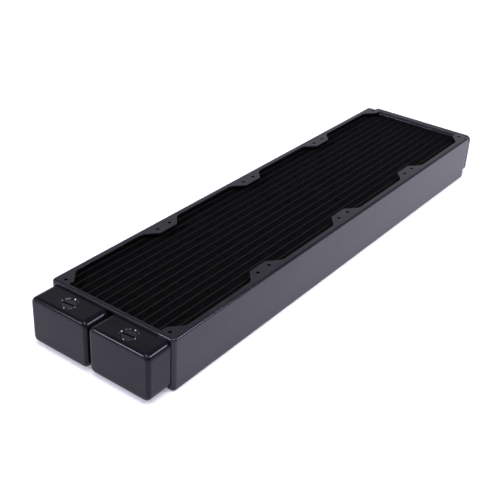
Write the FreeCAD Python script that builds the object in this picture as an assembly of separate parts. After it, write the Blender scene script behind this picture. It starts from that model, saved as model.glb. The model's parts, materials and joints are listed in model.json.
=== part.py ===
"""Liquid cooling radiator for a row of four 120 mm fans.

A brass and copper core (flat coolant tubes with corrugated fins between them) is closed by a
header plate at each end. Two port tanks stand side by side at the -X end and one return tank
at the +X end, so the coolant runs out along one half of the core and back along the other.
Two folded side rails carry the screw tabs for the fans on the top and on the bottom.

Frame: +X along the length (towards the return tank), +Y across, +Z up, in millimetres.
The origin is the centre of the bounding box's bottom face.
"""
import FreeCAD
import Part

import math
import os

V = FreeCAD.Vector
UP = V(0, 0, 1)
ALONG = V(1, 0, 0)

# ---- driving dimensions -------------------------------------------------------------------
FAN_COUNT = 4
FAN_PITCH = 120.0
FAN_HOLE_SPACING = 105.0
FAN_HOLE_RADIUS = 1.6

WIDTH = 124.0
THICKNESS = 46.0
END_MARGIN = 6.7
PORT_TANK_REACH = 23.8
RETURN_TANK_REACH = 12.8

CASE_SHEET = 1.5
CASE_BEND = 2.0
CASE_CORNER = 3.5
FLANGE_WIDTH = 5.8
TAB_INNER_Y = 46.5
TAB_BEYOND_HOLE = 2.8
TAB_FLANK_ANGLE = 41.0
TAB_CORNER_RADIUS = 1.2
TAB_ROOT_RADIUS = 9.0
SHEET_EDGE_RADIUS = 0.35

HEADER_SHEET = 1.2
HEADER_DEPTH = 4.5
HEADER_BEND = 1.4

END_STRIP_GAP = 0.1
END_STRIP_ROUND = 1.3
MOUTH_GAP = 0.2

TANK_WALL = 1.0
TANK_CORNER_RADIUS = 5.5
TANK_FACE_RADIUS = 3.5
TANK_GAP = 1.8

CORE_RECESS = 4.5
TUBE_PITCH = 8.0
TUBE_THICKNESS = 2.0
TUBE_WALL = 0.15
TUBES_PER_SIDE = 7
TUBE_END_REACH = 2.0

FIN_SHEET = 0.1
FIN_WAVE = 4.4
FIN_CREST = 0.9
FIN_RECESS = 0.4
FIN_END_GAP = 1.0

PORT_THREAD_RADIUS = 6.58
PORT_NECK_RADIUS = 7.5
PORT_SHOULDER_RADIUS = 8.3
PORT_BUSH_LENGTH = 9.0
PORT_CHAMFER = 0.75
PORT_OFFSET_X = 12.1

PLUG_CLEARANCE = 0.06
PLUG_LENGTH = 6.4
PLUG_SINK = 0.7
PLUG_CHAMFER = 0.8
SLOT_WIDTH = 1.9
SLOT_DEPTH = 2.0
SLOT_LENGTH = 10.6
SLOT_TURNS = {"inlet": 8.0, "outlet": 5.0}

SEAL_CORD_RADIUS = 0.75
SEAL_CENTRE_RADIUS = 5.72
SEAL_CENTRE_DROP = 4.6
GROOVE_CLEARANCE = 0.07
GROOVE_WIDTH = 1.9

# ---- places worked out from them -----------------------------------------------------------
HALF_WIDTH = WIDTH / 2.0
CASE_LENGTH = (FAN_COUNT - 1) * FAN_PITCH + FAN_HOLE_SPACING + 2.0 * END_MARGIN
OVERALL_LENGTH = PORT_TANK_REACH + CASE_LENGTH + RETURN_TANK_REACH
TANK_FRONT_X = -OVERALL_LENGTH / 2.0
CASE_NEAR_X = TANK_FRONT_X + PORT_TANK_REACH
CASE_FAR_X = CASE_NEAR_X + CASE_LENGTH
RETURN_FACE_X = OVERALL_LENGTH / 2.0
FIRST_HOLE_X = CASE_NEAR_X + END_MARGIN
HOLE_Y = FAN_HOLE_SPACING / 2.0

FLANGE_INNER_Y = HALF_WIDTH - FLANGE_WIDTH
HEADER_HALF_WIDTH = HALF_WIDTH - CASE_SHEET
HEADER_INNER_NEAR_X = CASE_NEAR_X + HEADER_DEPTH
HEADER_INNER_FAR_X = CASE_FAR_X - HEADER_DEPTH
HEADER_CORNER = TANK_CORNER_RADIUS + HEADER_SHEET

TANK_INSET = CASE_SHEET + HEADER_SHEET
TANK_HALF_WIDTH = HALF_WIDTH - TANK_INSET
TANK_BOTTOM_Z = TANK_INSET
TANK_TOP_Z = THICKNESS - TANK_INSET

TUBE_BOTTOM_Z = CORE_RECESS
TUBE_TOP_Z = THICKNESS - CORE_RECESS
SIDE_PLATE_INNER_Y = TUBES_PER_SIDE * TUBE_PITCH + TUBE_THICKNESS / 2.0

PORT_X = TANK_FRONT_X + PORT_OFFSET_X
PORT_Y = (TANK_HALF_WIDTH + TANK_GAP / 2.0) / 2.0
PLUG_RADIUS = PORT_THREAD_RADIUS - PLUG_CLEARANCE
PLUG_TOP_Z = TANK_TOP_Z - PLUG_SINK


# ---- helpers ------------------------------------------------------------------------------
def box(low, high):
    """Return a block between two corners."""
    size = [h - l for l, h in zip(low, high)]
    return Part.makeBox(size[0], size[1], size[2], V(*low))


def mirror_y(shape):
    """Return the shape mirrored across the plane between the two rails."""
    return shape.mirror(V(0, 0, 0), V(0, 1, 0))


def mirror_z(shape):
    """Return the shape turned over, top to bottom, about half the thickness."""
    return shape.mirror(V(0, 0, THICKNESS / 2.0), UP)


def rounded_face(points):
    """Return a face in a plane from (vector, corner radius) pairs, with tangent corner arcs."""
    edges = []
    ends = []
    count = len(points)
    for index in range(count):
        before = points[index - 1][0]
        here, radius = points[index]
        after = points[(index + 1) % count][0]
        back = (before - here).normalize()
        ahead = (after - here).normalize()
        if radius <= 0:
            ends.append((here, here))
            edges.append(None)
            continue
        half = back.getAngle(ahead) / 2.0
        reach = radius / math.tan(half)
        start = here + back * reach
        stop = here + ahead * reach
        bisector = (back + ahead).normalize()
        centre = here + bisector * (radius / math.sin(half))
        middle = centre - bisector * radius
        ends.append((start, stop))
        edges.append(Part.Arc(start, middle, stop).toShape())
    wire_edges = []
    for index in range(count):
        if edges[index] is not None:
            wire_edges.append(edges[index])
        leave = ends[index][1]
        arrive = ends[(index + 1) % count][0]
        if leave.distanceToPoint(arrive) > 1e-6:
            wire_edges.append(Part.LineSegment(leave, arrive).toShape())
    return Part.Face(Part.Wire(wire_edges))


def rounded_bar(x0, x1, y0, y1, z0, z1, radius):
    """Return a bar along X with a rounded rectangular section."""
    corners = [(y0, z0), (y1, z0), (y1, z1), (y0, z1)]
    face = rounded_face([(V(x0, y, z), radius) for y, z in corners])
    return face.extrude(V(x1 - x0, 0, 0))


def edges_where(shape, test):
    """Return the edges whose every end point passes a test."""
    return [e for e in shape.Edges if all(test(v.Point) for v in e.Vertexes)]


def at(value, target):
    """Return whether a coordinate sits at a target."""
    return abs(value - target) < 1e-4


def save(name, shape):
    """Write one node as a STEP file, after checking that it is a sound solid."""
    shape = shape.removeSplitter()
    if not shape.isValid() or shape.Volume <= 0:
        raise ValueError("bad solid: " + name)
    if shape.ShapeType != "Solid" and len(shape.Solids) == 1:
        shape = shape.Solids[0]
    shape.exportStep("parts/" + name + ".step")


# ---- case: side rails and end strips -------------------------------------------------------
def case_shell():
    """Return the closed sheet box that the rails and strips are parts of, open at its ends."""
    outer = box((CASE_NEAR_X, -HALF_WIDTH, 0.0), (CASE_FAR_X, HALF_WIDTH, THICKNESS))
    upright = edges_where(outer, lambda p: at(abs(p.y), HALF_WIDTH))
    upright = [e for e in upright if not at(e.Vertexes[0].Z, e.Vertexes[1].Z)]
    outer = outer.makeFillet(CASE_CORNER, upright)
    rims = edges_where(outer, lambda p: True)
    rims = [e for e in rims if at(e.Vertexes[0].Z, e.Vertexes[1].Z)]
    outer = outer.makeFillet(CASE_BEND, rims)
    inner = box((CASE_NEAR_X + CASE_SHEET, -HEADER_HALF_WIDTH, CASE_SHEET),
                (CASE_FAR_X - CASE_SHEET, HEADER_HALF_WIDTH, THICKNESS - CASE_SHEET))
    mouth = rounded_bar(CASE_NEAR_X, CASE_FAR_X,
                        -TANK_HALF_WIDTH - MOUTH_GAP, TANK_HALF_WIDTH + MOUTH_GAP,
                        TANK_BOTTOM_Z - MOUTH_GAP, TANK_TOP_Z + MOUTH_GAP,
                        TANK_CORNER_RADIUS + MOUTH_GAP)
    return outer.cut([inner, mouth])


def fan_hole_x():
    """Return the X of every fan screw hole along one rail."""
    places = []
    for fan in range(FAN_COUNT):
        start = FIRST_HOLE_X + fan * FAN_PITCH
        places += [start, start + FAN_HOLE_SPACING]
    return places


def rail_outline():
    """Return the rail's plan on the +Y side: its flange with the screw tabs along the core."""
    holes = fan_hole_x()
    slope = (FLANGE_INNER_Y - TAB_INNER_Y) / math.tan(math.radians(TAB_FLANK_ANGLE))
    points = [(CASE_FAR_X, HALF_WIDTH, 0.0), (CASE_NEAR_X, HALF_WIDTH, 0.0),
              (CASE_NEAR_X, TAB_INNER_Y, 0.0)]
    tab_ends = [holes[0]] + holes[1:-1] + [holes[-1]]
    for index, hole in enumerate(tab_ends):
        leaving = index % 2 == 0
        step = 1.0 if leaving else -1.0
        corner = (hole + step * TAB_BEYOND_HOLE, TAB_INNER_Y, TAB_CORNER_RADIUS)
        root = (hole + step * (TAB_BEYOND_HOLE + slope), FLANGE_INNER_Y, TAB_ROOT_RADIUS)
        points += [corner, root] if leaving else [root, corner]
    points.append((CASE_FAR_X, TAB_INNER_Y, 0.0))
    return rounded_face([(V(x, y, 0.0), radius) for x, y, radius in points])


def side_rail(shell):
    """Return the rail on the +Y side: channel, screw tabs and screw holes."""
    rail = shell.common(rail_outline().extrude(V(0, 0, THICKNESS)))
    low_x = CASE_NEAR_X + CASE_CORNER
    high_x = CASE_FAR_X - CASE_CORNER
    rims = edges_where(rail, lambda p: (at(p.z, THICKNESS) or at(p.z, 0.0))
                       and p.y < FLANGE_INNER_Y + SHEET_EDGE_RADIUS and low_x < p.x < high_x)
    rail = rail.makeFillet(SHEET_EDGE_RADIUS, rims)
    drills = [Part.makeCylinder(FAN_HOLE_RADIUS, THICKNESS, V(x, HOLE_Y, 0))
              for x in fan_hole_x()]
    return rail.cut(drills)


def end_strip(shell, outer_x, inner_x):
    """Return the top strip that bridges the corner tabs over one header plate."""
    half = TAB_INNER_Y - END_STRIP_GAP
    low_x, high_x = sorted((outer_x, inner_x))
    strip = shell.common(box((low_x, -half, THICKNESS / 2.0), (high_x, half, THICKNESS)))
    inner_edge = edges_where(strip, lambda p: at(p.x, inner_x) and at(p.z, THICKNESS))
    return strip.makeFillet(END_STRIP_ROUND, inner_edge)


# ---- core ----------------------------------------------------------------------------------
def tube_y(number):
    """Return the Y of a core member, counted from the centre bar."""
    return number * TUBE_PITCH


def working_tubes():
    """Return the place numbers of the tubes that carry coolant."""
    return [n for n in range(-TUBES_PER_SIDE, TUBES_PER_SIDE + 1) if n != 0]


def flat_tube_outline(x0, x1, y, shrink):
    """Return a flat oval bar, drawn in by the given wall."""
    half = TUBE_THICKNESS / 2.0 - shrink
    low_z = TUBE_BOTTOM_Z + shrink
    high_z = TUBE_TOP_Z - shrink
    return rounded_bar(x0, x1, y - half, y + half, low_z, high_z, half * 0.999)


def coolant_tube(number):
    """Return one hollow flat tube that passes through both header plates."""
    x0 = HEADER_INNER_NEAR_X - HEADER_SHEET - TUBE_END_REACH
    x1 = HEADER_INNER_FAR_X + HEADER_SHEET + TUBE_END_REACH
    y = tube_y(number)
    return flat_tube_outline(x0, x1, y, 0.0).cut(flat_tube_outline(x0, x1, y, TUBE_WALL))


def centre_bar():
    """Return the dry hollow bar between the two coolant passes, ending at both header plates."""
    x0 = HEADER_INNER_NEAR_X
    x1 = HEADER_INNER_FAR_X
    return flat_tube_outline(x0, x1, 0.0, 0.0).cut(flat_tube_outline(x0, x1, 0.0, TUBE_WALL))


def offset_line(points, distance):
    """Return an open line of 2-D points moved sideways, with mitred corners."""
    normals = []
    for (x0, y0), (x1, y1) in zip(points, points[1:]):
        length = math.hypot(x1 - x0, y1 - y0)
        normals.append(((y0 - y1) / length, (x1 - x0) / length))
    moved = []
    for index, (x, y) in enumerate(points):
        before = normals[max(index - 1, 0)]
        after = normals[min(index, len(normals) - 1)]
        scale = distance / (1.0 + before[0] * after[0] + before[1] * after[1])
        moved.append((x + (before[0] + after[0]) * scale, y + (before[1] + after[1]) * scale))
    return moved


def fin_strip(gap):
    """Return one corrugated fin strip; gap counts the spaces between core members from -Y."""
    low_y = tube_y(gap - TUBES_PER_SIDE) + TUBE_THICKNESS / 2.0 + FIN_SHEET / 2.0
    high_y = low_y + TUBE_PITCH - TUBE_THICKNESS - FIN_SHEET
    start = HEADER_INNER_NEAR_X + FIN_END_GAP
    room = HEADER_INNER_FAR_X - FIN_END_GAP - start
    waves = int(room / FIN_WAVE)
    wave = room / waves
    line = []
    for index in range(waves):
        x = start + index * wave
        line.append((x, low_y))
        line.append((x + FIN_CREST, low_y))
        line.append((x + wave / 2.0, high_y))
        line.append((x + wave / 2.0 + FIN_CREST, high_y))
    line.append((start + room, low_y))
    left = offset_line(line, FIN_SHEET / 2.0)
    right = offset_line(line, -FIN_SHEET / 2.0)
    base_z = TUBE_BOTTOM_Z + FIN_RECESS
    outline = [V(x, y, base_z) for x, y in left + right[::-1]]
    face = Part.Face(Part.makePolygon(outline + outline[:1]))
    return face.extrude(V(0, 0, TUBE_TOP_Z - TUBE_BOTTOM_Z - 2.0 * FIN_RECESS))


def core_side_plate():
    """Return the channel between the last tube and the rail on the +Y side."""
    outline = [
        (SIDE_PLATE_INNER_Y, TUBE_BOTTOM_Z),
        (HEADER_HALF_WIDTH, TUBE_BOTTOM_Z),
        (HEADER_HALF_WIDTH, TUBE_BOTTOM_Z + HEADER_SHEET),
        (SIDE_PLATE_INNER_Y + HEADER_SHEET, TUBE_BOTTOM_Z + HEADER_SHEET),
        (SIDE_PLATE_INNER_Y + HEADER_SHEET, TUBE_TOP_Z - HEADER_SHEET),
        (HEADER_HALF_WIDTH, TUBE_TOP_Z - HEADER_SHEET),
        (HEADER_HALF_WIDTH, TUBE_TOP_Z),
        (SIDE_PLATE_INNER_Y, TUBE_TOP_Z),
    ]
    face = rounded_face([(V(HEADER_INNER_NEAR_X, y, z), 0.0) for y, z in outline])
    return face.extrude(V(HEADER_INNER_FAR_X - HEADER_INNER_NEAR_X, 0, 0))


def header_plate(outer_x, inner_x):
    """Return a slotted tray that holds the tube ends and wraps round the tank's mouth."""
    outer_x += math.copysign(CASE_SHEET, inner_x - outer_x)
    low_x, high_x = sorted((outer_x, inner_x))
    plate_x = inner_x + math.copysign(HEADER_SHEET, outer_x - inner_x)
    low_z = CASE_SHEET
    high_z = THICKNESS - CASE_SHEET
    half = HEADER_HALF_WIDTH
    tray = rounded_bar(low_x, high_x, -half, half, low_z, high_z, HEADER_CORNER)
    rim = edges_where(tray, lambda p: at(p.x, inner_x))
    tray = tray.makeFillet(HEADER_BEND, rim)
    pocket_x = sorted((outer_x, plate_x))
    half_in = half - HEADER_SHEET
    pocket = rounded_bar(pocket_x[0], pocket_x[1], -half_in, half_in,
                         low_z + HEADER_SHEET, high_z - HEADER_SHEET, TANK_CORNER_RADIUS)
    tray = tray.cut(pocket)
    slots = [flat_tube_outline(low_x, high_x, tube_y(n), 0.0) for n in working_tubes()]
    return tray.cut(slots)


# ---- tanks, ports and plugs ----------------------------------------------------------------
def tank(face_x, mouth_x, low_y, high_y):
    """Return a box tank with rounded edges, open at the mouth that sits in the header."""
    low_x, high_x = sorted((face_x, mouth_x))
    shell = rounded_bar(low_x, high_x, low_y, high_y, TANK_BOTTOM_Z, TANK_TOP_Z,
                        TANK_CORNER_RADIUS)
    shell = shell.makeFillet(TANK_FACE_RADIUS, edges_where(shell, lambda p: at(p.x, face_x)))
    inner_face_x = face_x + math.copysign(TANK_WALL, mouth_x - face_x)
    low_x, high_x = sorted((inner_face_x, mouth_x))
    cavity = rounded_bar(low_x, high_x, low_y + TANK_WALL, high_y - TANK_WALL,
                         TANK_BOTTOM_Z + TANK_WALL, TANK_TOP_Z - TANK_WALL,
                         TANK_CORNER_RADIUS - TANK_WALL)
    cavity = cavity.makeFillet(TANK_FACE_RADIUS - TANK_WALL,
                               edges_where(cavity, lambda p: at(p.x, inner_face_x)))
    return shell.cut(cavity)


def port_tank(side):
    """Return one port tank with its two bush holes; side is +1 or -1 across the radiator."""
    mouth_x = HEADER_INNER_NEAR_X - HEADER_SHEET
    low_y, high_y = sorted((side * TANK_GAP / 2.0, side * TANK_HALF_WIDTH))
    shell = tank(TANK_FRONT_X, mouth_x, low_y, high_y)
    drill = Part.makeCylinder(PORT_NECK_RADIUS, THICKNESS, V(PORT_X, side * PORT_Y, 0))
    return shell.cut(drill)


def revolved(profile, x, y):
    """Return a solid turned about a vertical axis from (radius, height) points."""
    points = [V(x + radius, y, height) for radius, height in profile]
    face = Part.Face(Part.makePolygon(points + points[:1]))
    return face.revolve(V(x, y, 0), UP, 360)


def port_bush(side):
    """Return the threaded bush in a port tank's top wall, flush with its outer face."""
    top = TANK_TOP_Z
    shoulder = top - TANK_WALL
    bottom = top - PORT_BUSH_LENGTH
    profile = [
        (PORT_THREAD_RADIUS, bottom),
        (PORT_SHOULDER_RADIUS, bottom),
        (PORT_SHOULDER_RADIUS, shoulder),
        (PORT_NECK_RADIUS, shoulder),
        (PORT_NECK_RADIUS, top),
        (PORT_THREAD_RADIUS + PORT_CHAMFER, top),
        (PORT_THREAD_RADIUS, top - PORT_CHAMFER),
    ]
    return revolved(profile, PORT_X, side * PORT_Y)


def plug_screw(side, slot_turn):
    """Return the slotted plug screw of a top port, with a groove for its seal."""
    groove_mid = PLUG_TOP_Z - SEAL_CENTRE_DROP
    groove_r = SEAL_CENTRE_RADIUS - SEAL_CORD_RADIUS - GROOVE_CLEARANCE
    bottom = PLUG_TOP_Z - PLUG_LENGTH
    profile = [
        (0.0, bottom),
        (PLUG_RADIUS - PLUG_CHAMFER, bottom),
        (PLUG_RADIUS, bottom + PLUG_CHAMFER),
        (PLUG_RADIUS, groove_mid - GROOVE_WIDTH / 2.0),
        (groove_r, groove_mid - GROOVE_WIDTH / 2.0),
        (groove_r, groove_mid + GROOVE_WIDTH / 2.0),
        (PLUG_RADIUS, groove_mid + GROOVE_WIDTH / 2.0),
        (PLUG_RADIUS, PLUG_TOP_Z - PLUG_CHAMFER),
        (PLUG_RADIUS - PLUG_CHAMFER, PLUG_TOP_Z),
        (0.0, PLUG_TOP_Z),
    ]
    plug = revolved(profile, PORT_X, side * PORT_Y)
    half_long = SLOT_LENGTH / 2.0
    half_wide = SLOT_WIDTH / 2.0
    slot = box((PORT_X - half_wide, side * PORT_Y - half_long, PLUG_TOP_Z - SLOT_DEPTH),
               (PORT_X + half_wide, side * PORT_Y + half_long, PLUG_TOP_Z + SLOT_DEPTH))
    slot.rotate(V(PORT_X, side * PORT_Y, 0), UP, slot_turn)
    return plug.cut(slot)


def plug_seal(side):
    """Return the rubber ring that sits in the plug screw's groove."""
    centre = V(PORT_X, side * PORT_Y, PLUG_TOP_Z - SEAL_CENTRE_DROP)
    return Part.makeTorus(SEAL_CENTRE_RADIUS, SEAL_CORD_RADIUS, centre, UP)


# ---- the whole radiator --------------------------------------------------------------------
def build():
    """Write every node."""
    os.makedirs("parts", exist_ok=True)
    shell = case_shell()
    rail = side_rail(shell)
    save("side_rail_left", rail)
    save("side_rail_right", mirror_y(rail))

    for end, outer_x, inner_x in (("near", CASE_NEAR_X, HEADER_INNER_NEAR_X),
                                  ("far", CASE_FAR_X, HEADER_INNER_FAR_X)):
        strip = end_strip(shell, outer_x, inner_x)
        save("end_strip_" + end + "_top", strip)
        save("end_strip_" + end + "_bottom", mirror_z(strip))
        save("header_plate_" + end, header_plate(outer_x, inner_x))

    for order, number in enumerate(working_tubes(), start=1):
        save("coolant_tube_%02d" % order, coolant_tube(number))
    save("core_centre_bar", centre_bar())
    for gap in range(2 * TUBES_PER_SIDE):
        save("fin_strip_%02d" % (gap + 1), fin_strip(gap))
    side_plate = core_side_plate()
    save("core_side_plate_left", side_plate)
    save("core_side_plate_right", mirror_y(side_plate))

    save("return_tank", tank(RETURN_FACE_X, HEADER_INNER_FAR_X + HEADER_SHEET,
                             -TANK_HALF_WIDTH, TANK_HALF_WIDTH))
    for circuit, side in (("inlet", 1), ("outlet", -1)):
        save(circuit + "_tank", port_tank(side))
        bush = port_bush(side)
        save(circuit + "_port_bush_top", bush)
        save(circuit + "_port_bush_bottom", mirror_z(bush))
        save(circuit + "_plug_screw", plug_screw(side, SLOT_TURNS[circuit]))
        save(circuit + "_plug_seal", plug_seal(side))


build()
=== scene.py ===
"""Liquid cooling radiator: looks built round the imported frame."""
import json
import math

import bpy
from mathutils import Matrix, Vector


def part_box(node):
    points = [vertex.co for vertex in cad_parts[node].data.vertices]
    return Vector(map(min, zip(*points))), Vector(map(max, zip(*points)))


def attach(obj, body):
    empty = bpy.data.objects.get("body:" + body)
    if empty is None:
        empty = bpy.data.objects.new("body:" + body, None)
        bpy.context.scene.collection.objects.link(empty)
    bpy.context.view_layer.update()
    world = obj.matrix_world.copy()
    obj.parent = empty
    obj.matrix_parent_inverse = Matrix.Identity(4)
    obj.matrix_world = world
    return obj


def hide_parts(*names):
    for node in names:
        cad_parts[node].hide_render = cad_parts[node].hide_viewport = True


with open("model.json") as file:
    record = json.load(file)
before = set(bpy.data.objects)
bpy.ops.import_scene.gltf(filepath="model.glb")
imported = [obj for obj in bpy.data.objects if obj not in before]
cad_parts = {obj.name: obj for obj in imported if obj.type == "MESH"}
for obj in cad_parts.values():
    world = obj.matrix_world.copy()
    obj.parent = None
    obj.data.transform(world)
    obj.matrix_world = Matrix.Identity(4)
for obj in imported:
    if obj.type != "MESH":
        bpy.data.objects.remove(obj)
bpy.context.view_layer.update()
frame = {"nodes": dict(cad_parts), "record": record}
nodes = frame["nodes"]

# Lengths are in metres. Colours are linear.
MM = 0.001

CAMERA_PLACE = (-0.6326, -0.4029, 0.4312)
CAMERA_FORWARD = (0.7045, 0.4957, -0.5079)
CAMERA_RIGHT = (0.5976, -0.8004, 0.0479)
CAMERA_SENSOR = 36.0
CAMERA_LENS = 66.7
CAMERA_NEAREST = 0.01
CAMERA_FARTHEST = 50.0

# Coats: dark and light colour, lowest and highest roughness, index of refraction.
CASE_COAT = ((0.007, 0.007, 0.0085), (0.012, 0.0117, 0.0145), 0.15, 0.21, 1.395)
STRIP_COAT = ((0.006, 0.006, 0.0072), (0.010, 0.0098, 0.012), 0.34, 0.42, 1.3)
TANK_COAT = ((0.004, 0.004, 0.0048), (0.0065, 0.0064, 0.0078), 0.11, 0.17, 1.28)
PORT_COAT = ((0.008, 0.008, 0.009), (0.012, 0.012, 0.014), 0.1, 0.16, 1.5)
PLUG_COAT = ((0.008, 0.008, 0.009), (0.014, 0.014, 0.016), 0.1, 0.2, 1.5)
COAT_TINT = (0.86, 0.83, 1.0, 1.0)
COAT_MOTTLE_SCALE = 55.0
COAT_MOTTLE_DETAIL = 3.0
COAT_MOTTLE_STOPS = (0.3, 0.7)
COAT_PEEL = 0.015 * MM
COAT_PEEL_SCALE = 900.0
COAT_PEEL_DETAIL = 2.0
COAT_PEEL_STRENGTH = 0.15

# Sprays: dark and light grey, index of refraction.
CORE_SPRAY = (0.002, 0.004, 1.18)
FIN_SPRAY = (0.0045, 0.009, 1.22)
SEAL_SPRAY = (0.01, 0.02, 1.22)
SPRAY_PATCH_SCALE = 120.0
SPRAY_PATCH_DETAIL = 4.0
SPRAY_PATCH_STOPS = (0.25, 0.75)
SPRAY_ROUGHNESS = (0.5, 0.72)
SPRAY_GRAIN = 0.00003
SPRAY_GRAIN_SCALE = 2500.0
SPRAY_GRAIN_DETAIL = 2.0
SPRAY_GRAIN_STRENGTH = 0.5

FIN_WAVE = 2.4 * MM
FIN_FOIL = 0.08 * MM
FIN_CREST_SHARE = 0.1
FIN_SWEEP = 0.45 * MM
FIN_SWEEP_ROWS = (0.0, 1.0, -1.0, 1.0, 0.0)

FLOOR_HALF = 40.0
FLOOR_DROP = 0.2 * MM
FLOOR_COLOUR = (0.9, 0.9, 0.9, 1.0)
FLOOR_ROUGHNESS = 0.9
FLOOR_GLOW_COLOUR = (0.93, 0.9, 1.0, 1.0)
FLOOR_GLOW_START = 0.5
FLOOR_GLOW_END = 2.2
FLOOR_GLOW_NEAR = 0.3
FLOOR_GLOW_FAR = 0.95

# The studio's colour by the height of a direction, from level (0) to straight up (1).
WORLD_STOPS = (
    (0.0, (0.9, 0.89, 0.94)),
    (0.12, (0.85, 0.84, 0.9)),
    (0.36, (0.6, 0.6, 0.64)),
    (0.5, (0.54, 0.54, 0.57)),
    (0.58, (0.28, 0.28, 0.3)),
    (0.66, (0.17, 0.17, 0.185)),
    (1.0, (0.1, 0.1, 0.11)),
)
# Its strength rises from the -Y side to the +Y side, and is full near the horizon.
WORLD_NEAR_SIDE = 0.4
WORLD_FAR_SIDE = 1.0
WORLD_SIDE_START = -0.7
WORLD_SIDE_END = 0.2
HORIZON_REACH = 0.22
HORIZON_LIFT = 1.2

# Square lights: name, place, target, side, radiance.
LIGHTS = (
    ("overhead", (-0.35, -0.3, 1.7), (-0.1, 0.0, 0.0), 1.5, 4.6),
    ("left_edge", (-1.2, 0.8, 0.9), (-0.2, 0.0, 0.0), 0.32, 24.0),
    ("right_edge", (0.27, -0.54, 0.54), (-0.05, -0.1, 0.0), 0.22, 14.0),
)
LIGHT_TINT = (0.95, 0.92, 1.1)


# ---- camera ---------------------------------------------------------------------------------
def make_camera():
    """Look down the length from above the port tanks' right-hand side."""
    data = bpy.data.cameras.new("camera")
    data.sensor_width = CAMERA_SENSOR
    data.lens = CAMERA_LENS
    data.clip_start = CAMERA_NEAREST
    data.clip_end = CAMERA_FARTHEST
    camera = bpy.data.objects.new("camera", data)
    right = Vector(CAMERA_RIGHT)
    forward = Vector(CAMERA_FORWARD)
    up = right.cross(forward)
    basis = Matrix((right, up, -forward)).transposed().to_4x4()
    camera.matrix_world = Matrix.Translation(Vector(CAMERA_PLACE)) @ basis
    bpy.context.scene.collection.objects.link(camera)
    bpy.context.scene.camera = camera


# ---- small node helpers ---------------------------------------------------------------------
def new_material(name):
    """Return a new material, its node tree and its shader."""
    material = bpy.data.materials.new(name)
    material.use_nodes = True
    tree = material.node_tree
    shader = tree.nodes["Principled BSDF"]
    return material, tree, shader


def noise(tree, scale, detail):
    """Add a noise texture in object space."""
    coords = tree.nodes.new("ShaderNodeTexCoord")
    texture = tree.nodes.new("ShaderNodeTexNoise")
    texture.inputs["Scale"].default_value = scale
    texture.inputs["Detail"].default_value = detail
    tree.links.new(coords.outputs["Object"], texture.inputs["Vector"])
    return texture.outputs["Fac"]


def ramp(tree, source, stops):
    """Map a 0 to 1 value through colour stops."""
    node = tree.nodes.new("ShaderNodeValToRGB")
    elements = node.color_ramp.elements
    while len(elements) < len(stops):
        elements.new(0.5)
    for element, (place, colour) in zip(elements, stops):
        element.position = place
        element.color = (*colour, 1.0)
    tree.links.new(source, node.inputs["Fac"])
    return node.outputs["Color"]


def remap(tree, source, to_range, from_range=(0.0, 1.0)):
    """Map one range of values onto another."""
    node = tree.nodes.new("ShaderNodeMapRange")
    node.inputs["From Min"].default_value, node.inputs["From Max"].default_value = from_range
    node.inputs["To Min"].default_value, node.inputs["To Max"].default_value = to_range
    tree.links.new(source, node.inputs["Value"])
    return node.outputs["Result"]


def bump(tree, source, distance, strength):
    """Return the normal that a height source gives."""
    node = tree.nodes.new("ShaderNodeBump")
    node.inputs["Distance"].default_value = distance
    node.inputs["Strength"].default_value = strength
    tree.links.new(source, node.inputs["Height"])
    return node.outputs["Normal"]


# ---- materials ------------------------------------------------------------------------------
def powder_coat(name, coat):
    """Semi-gloss black coat: faint mottling, uneven sheen and fine orange peel."""
    dark, light, rough_low, rough_high, ior = coat
    material, tree, shader = new_material(name)
    mottle = noise(tree, COAT_MOTTLE_SCALE, COAT_MOTTLE_DETAIL)
    peel = noise(tree, COAT_PEEL_SCALE, COAT_PEEL_DETAIL)
    colour = ramp(tree, mottle, list(zip(COAT_MOTTLE_STOPS, (dark, light))))
    tree.links.new(colour, shader.inputs["Base Color"])
    roughness = remap(tree, mottle, (rough_low, rough_high))
    tree.links.new(roughness, shader.inputs["Roughness"])
    shader.inputs["IOR"].default_value = ior
    shader.inputs["Specular Tint"].default_value = COAT_TINT
    normal = bump(tree, peel, COAT_PEEL, COAT_PEEL_STRENGTH)
    tree.links.new(normal, shader.inputs["Normal"])
    return material


def thin_spray(name, spray):
    """Matt black, slightly patchy and grainy: the core's spray and the seals' rubber."""
    dark, light, ior = spray
    material, tree, shader = new_material(name)
    patch = noise(tree, SPRAY_PATCH_SCALE, SPRAY_PATCH_DETAIL)
    grain = noise(tree, SPRAY_GRAIN_SCALE, SPRAY_GRAIN_DETAIL)
    colour = ramp(tree, patch, list(zip(SPRAY_PATCH_STOPS, ([dark] * 3, [light] * 3))))
    tree.links.new(colour, shader.inputs["Base Color"])
    tree.links.new(remap(tree, patch, SPRAY_ROUGHNESS), shader.inputs["Roughness"])
    shader.inputs["IOR"].default_value = ior
    normal = bump(tree, grain, SPRAY_GRAIN, SPRAY_GRAIN_STRENGTH)
    tree.links.new(normal, shader.inputs["Normal"])
    return material


# ---- fins -----------------------------------------------------------------------------------
def fin_line(x0, x1, low_y, high_y):
    """Return the folded foil's plan as points, from one end to the other."""
    waves = round((x1 - x0) / FIN_WAVE)
    wave = (x1 - x0) / waves
    half_crest = wave * FIN_CREST_SHARE / 2.0
    points = []
    for fold in range(2 * waves):
        middle = x0 + (fold + 0.5) * wave / 2.0
        y = low_y if fold % 2 == 0 else high_y
        points.append((middle - half_crest, y))
        points.append((middle + half_crest, y))
    return points


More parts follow.
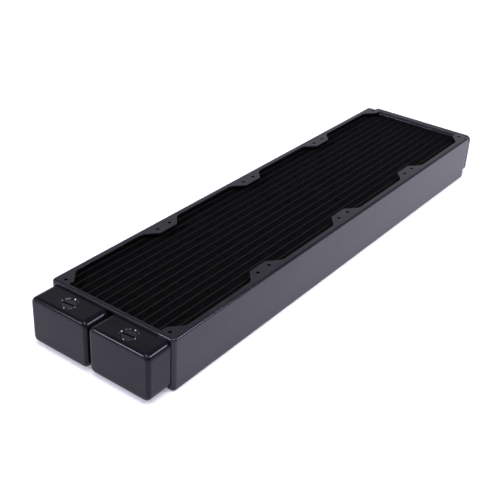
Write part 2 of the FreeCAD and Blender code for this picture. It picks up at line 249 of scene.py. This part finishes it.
def fin_foil(name, low, high):
    """Build one folded foil strip as a thin closed solid whose folds sweep to and fro."""
    line = fin_line(low.x, high.x, low.y + FIN_FOIL, high.y - FIN_FOIL)
    rows = len(FIN_SWEEP_ROWS)
    vertices = []
    for side in (-0.5, 0.5):
        for row, sweep in enumerate(FIN_SWEEP_ROWS):
            z = low.z + (high.z - low.z) * row / (rows - 1)
            for x, y in line:
                vertices.append((x + side * FIN_FOIL + sweep * FIN_SWEEP, y, z))
    count = len(line)
    sheet = rows * count
    faces = []
    # The two broad sides of the foil.
    for row in range(rows - 1):
        for index in range(count - 1):
            a = row * count + index
            faces.append((a, a + count, a + count + 1, a + 1))
            b = a + sheet
            faces.append((b, b + 1, b + count + 1, b + count))
    # Its bottom and top edges.
    top = (rows - 1) * count
    for index in range(count - 1):
        faces.append((index, index + 1, index + 1 + sheet, index + sheet))
        a = top + index
        faces.append((a, a + sheet, a + 1 + sheet, a + 1))
    # Its two ends.
    for row in range(rows - 1):
        a = row * count
        faces.append((a, a + sheet, a + sheet + count, a + count))
        b = a + count - 1
        faces.append((b, b + count, b + count + sheet, b + sheet))
    mesh = bpy.data.meshes.new(name)
    mesh.from_pydata(vertices, [], faces)
    mesh.update()
    piece = bpy.data.objects.new(name, mesh)
    bpy.context.scene.collection.objects.link(piece)
    return piece


def make_fins(material):
    """Stand a fine foil strip in for each of the frame's plain fin strips."""
    margin = FIN_SWEEP + FIN_FOIL
    for node in sorted(n for n in nodes if n.startswith("fin_strip_")):
        low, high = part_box(node)
        low.x += margin
        high.x -= margin
        piece = fin_foil(node.replace("fin_strip", "fin_foil"), low, high)
        piece.data.materials.append(material)
        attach(piece, "root")
        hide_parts(node)


# ---- floor and light ------------------------------------------------------------------------
def make_floor():
    """A wide pale floor that glows a little, so that shadows stay faint."""
    mesh = bpy.data.meshes.new("floor")
    half = FLOOR_HALF
    corners = [(-half, -half, 0), (half, -half, 0), (half, half, 0), (-half, half, 0)]
    mesh.from_pydata(corners, [], [(0, 1, 2, 3)])
    floor = bpy.data.objects.new("floor", mesh)
    bpy.context.scene.collection.objects.link(floor)
    floor.location.z = -FLOOR_DROP
    material, tree, shader = new_material("floor_paper")
    shader.inputs["Base Color"].default_value = FLOOR_COLOUR
    shader.inputs["Roughness"].default_value = FLOOR_ROUGHNESS
    shader.inputs["Emission Color"].default_value = FLOOR_GLOW_COLOUR
    coords = tree.nodes.new("ShaderNodeTexCoord")
    length = tree.nodes.new("ShaderNodeVectorMath")
    length.operation = "LENGTH"
    tree.links.new(coords.outputs["Object"], length.inputs[0])
    glow = remap(tree, length.outputs["Value"], (FLOOR_GLOW_NEAR, FLOOR_GLOW_FAR),
                 (FLOOR_GLOW_START, FLOOR_GLOW_END))
    tree.links.new(glow, shader.inputs["Emission Strength"])
    mesh.materials.append(material)


def area_light(name, place, target, size, radiance):
    """Add a square soft light of a given brightness that faces a target."""
    data = bpy.data.lights.new(name, "AREA")
    data.shape = "SQUARE"
    data.size = size
    data.energy = radiance * math.pi * size * size
    data.color = LIGHT_TINT
    light = bpy.data.objects.new(name, data)
    direction = Vector(target) - Vector(place)
    light.rotation_euler = direction.to_track_quat("-Z", "Y").to_euler()
    light.location = place
    bpy.context.scene.collection.objects.link(light)


def make_world():
    """A studio that is pale near the horizon, dark overhead and dimmer on the -Y side."""
    world = bpy.data.worlds.new("studio")
    world.use_nodes = True
    tree = world.node_tree
    background = tree.nodes["Background"]
    coords = tree.nodes.new("ShaderNodeTexCoord")
    split = tree.nodes.new("ShaderNodeSeparateXYZ")
    tree.links.new(coords.outputs["Generated"], split.inputs["Vector"])
    horizon = remap(tree, split.outputs["Z"], (HORIZON_LIFT, 0.0), (0.0, HORIZON_REACH))
    side = tree.nodes.new("ShaderNodeMath")
    side.operation = "ADD"
    tree.links.new(split.outputs["Y"], side.inputs[0])
    tree.links.new(horizon, side.inputs[1])
    strength = remap(tree, side.outputs["Value"], (WORLD_NEAR_SIDE, WORLD_FAR_SIDE),
                     (WORLD_SIDE_START, WORLD_SIDE_END))
    tree.links.new(ramp(tree, split.outputs["Z"], WORLD_STOPS), background.inputs["Color"])
    tree.links.new(strength, background.inputs["Strength"])
    bpy.context.scene.world = world


def make_light():
    """Light the scene: a broad light overhead and two small ones that draw the edges."""
    make_world()
    for name, place, target, size, radiance in LIGHTS:
        area_light(name, place, target, size, radiance)


# ---- the scene ------------------------------------------------------------------------------
def assign(node, material):
    """Put one material on every slot of a CAD node."""
    mesh = nodes[node].data
    if not mesh.materials:
        mesh.materials.append(material)
    for index in range(len(mesh.materials)):
        mesh.materials[index] = material


def dress_cad():
    """Give each CAD node its record slot's finish, and the end strips a duller one."""
    finishes = {
        "case_paint": powder_coat("case_paint", CASE_COAT),
        "strip_paint": powder_coat("strip_paint", STRIP_COAT),
        "tank_paint": powder_coat("tank_paint", TANK_COAT),
        "core_paint": thin_spray("core_paint", CORE_SPRAY),
        "port_metal": powder_coat("port_metal", PORT_COAT),
        "plug_finish": powder_coat("plug_black", PLUG_COAT),
        "seal_rubber": thin_spray("seal_rubber", SEAL_SPRAY),
    }
    for part in frame["record"]["subparts"]:
        is_strip = part["node"].startswith("end_strip_")
        finish = "strip_paint" if is_strip else part["material_slot"]
        assign(part["node"], finishes[finish])


make_camera()
make_floor()
make_light()
dress_cad()
make_fins(thin_spray("fin_paint", FIN_SPRAY))
bpy.context.scene.view_settings.view_transform = "Standard"
